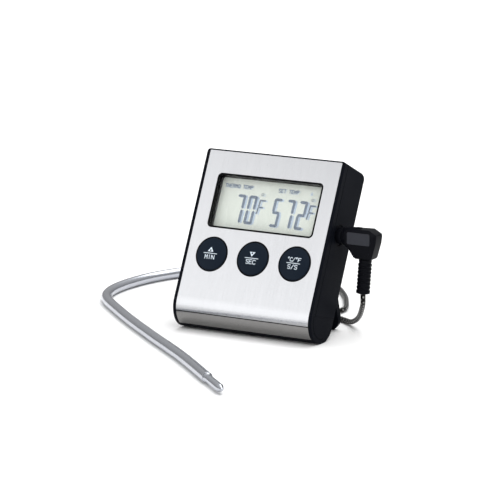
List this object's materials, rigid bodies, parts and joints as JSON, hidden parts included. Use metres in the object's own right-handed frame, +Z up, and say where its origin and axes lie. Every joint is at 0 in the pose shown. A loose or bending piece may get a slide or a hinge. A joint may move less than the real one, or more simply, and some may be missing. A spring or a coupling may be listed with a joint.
{
  "type": "digital meat thermometer",
  "caption": "Leaning table unit with a steel front, display and buttons, a fold-out stand, and a bent steel probe on a braided lead.",
  "frame": {"origin": "on the table, at the middle of the flat strip under the unit's rounded bottom", "axes": "+Z up from the table, +X to the reader's right as the display is read, +Y away from the reader"},
  "size_m": [0.1455, 0.2043, 0.0724],
  "materials": {
    "brushed_stainless_steel": "straight fine brushing, satin",
    "polished_stainless_steel": "drawn tube, polished",
    "braided_stainless_steel": "fine round wire braid",
    "black_abs": "moulded, fine satin texture",
    "navy_rubber": "moulded silicone, soft matte with white print",
    "clear_acrylic": "clear, gloss",
    "display_glass": "grey-green reflective display",
    "conductive_rubber": "matt",
    "circuit_board_laminate": "solder mask",
    "chip_resin": "matt epoxy",
    "plated_steel": "nickel plate",
    "battery_label": "printed film over a steel can",
    "black_pvc": "moulded flexible PVC",
    "tie_nylon": "moulded nylon"
  },
  "bodies": {
    "case": {"battery": "battery_label", "battery_contact_minus": "plated_steel", "battery_contact_plus": "plated_steel", "battery_spring": "plated_steel", "board_screw_left": "plated_steel", "board_screw_right": "plated_steel", "buzzer": "chip_resin", "cable_coil": "braided_stainless_steel", "cable_plug_end": "braided_stainless_steel", "cable_probe_end": "braided_stainless_steel", "cable_tie": "tie_nylon", "case_screw_lower_left": "plated_steel", "case_screw_lower_right": "plated_steel", "case_screw_upper_left": "plated_steel", "case_screw_upper_right": "plated_steel", "circuit_board": "circuit_board_laminate", "control_chip": "chip_resin", "display_connector_lower": "conductive_rubber", "display_connector_upper": "conductive_rubber", "display_lens": "clear_acrylic", "display_panel": "display_glass", "front_case": "black_abs", "front_cover": "brushed_stainless_steel", "jack_socket": "black_abs", "minute_switch": "plated_steel", "mode_switch": "plated_steel", "probe_ferrule": "polished_stainless_steel", "probe_tip": "polished_stainless_steel", "probe_tube": "polished_stainless_steel", "rear_case": "black_abs", "second_switch": "plated_steel", "stand_pin": "plated_steel", "thermistor": "chip_resin", "unit_switch": "plated_steel"},
    "minute_button": {"minute_button": "navy_rubber"},
    "second_button": {"second_button": "navy_rubber"},
    "unit_button": {"unit_button": "navy_rubber"},
    "stand": {"stand": "black_abs"},
    "battery_door": {"battery_door": "black_abs"},
    "mode_slider": {"mode_slider": "black_abs"},
    "plug": {"plug_body": "black_pvc", "plug_sleeve": "plated_steel", "plug_insulator": "black_pvc", "plug_tip": "plated_steel", "strain_relief": "black_pvc"}
  },
  "joints": [
    {"name": "minute_button_press", "type": "slide", "parent": "case", "child": "minute_button", "axis": [0, 0.9045, -0.4264], "range_m": [0, 0.0008], "stiffness_N_per_m": 1800, "springref_m": -0.0006},
    {"name": "second_button_press", "type": "slide", "parent": "case", "child": "second_button", "axis": [0, 0.9045, -0.4264], "range_m": [0, 0.0008], "stiffness_N_per_m": 1800, "springref_m": -0.0006},
    {"name": "unit_button_press", "type": "slide", "parent": "case", "child": "unit_button", "axis": [0, 0.9045, -0.4264], "range_m": [0, 0.0008], "stiffness_N_per_m": 1800, "springref_m": -0.0006},
    {"name": "stand_fold", "type": "hinge", "parent": "case", "child": "stand", "pos_m": [0, 0.01695, 0.02704], "axis": [-1, 0, 0], "range_deg": [0, 41]},
    {"name": "battery_door_slide", "type": "slide", "parent": "case", "child": "battery_door", "axis": [0, -0.4264, -0.9045], "range_m": [0, 0.014]},
    {"name": "mode_slider_travel", "type": "slide", "parent": "case", "child": "mode_slider", "axis": [1, 0, 0], "range_m": [0, 0.004]},
    {"name": "plug_pull", "type": "slide", "parent": "case", "child": "plug", "axis": [1, 0, 0], "range_m": [0, 0.013]}
  ]
}
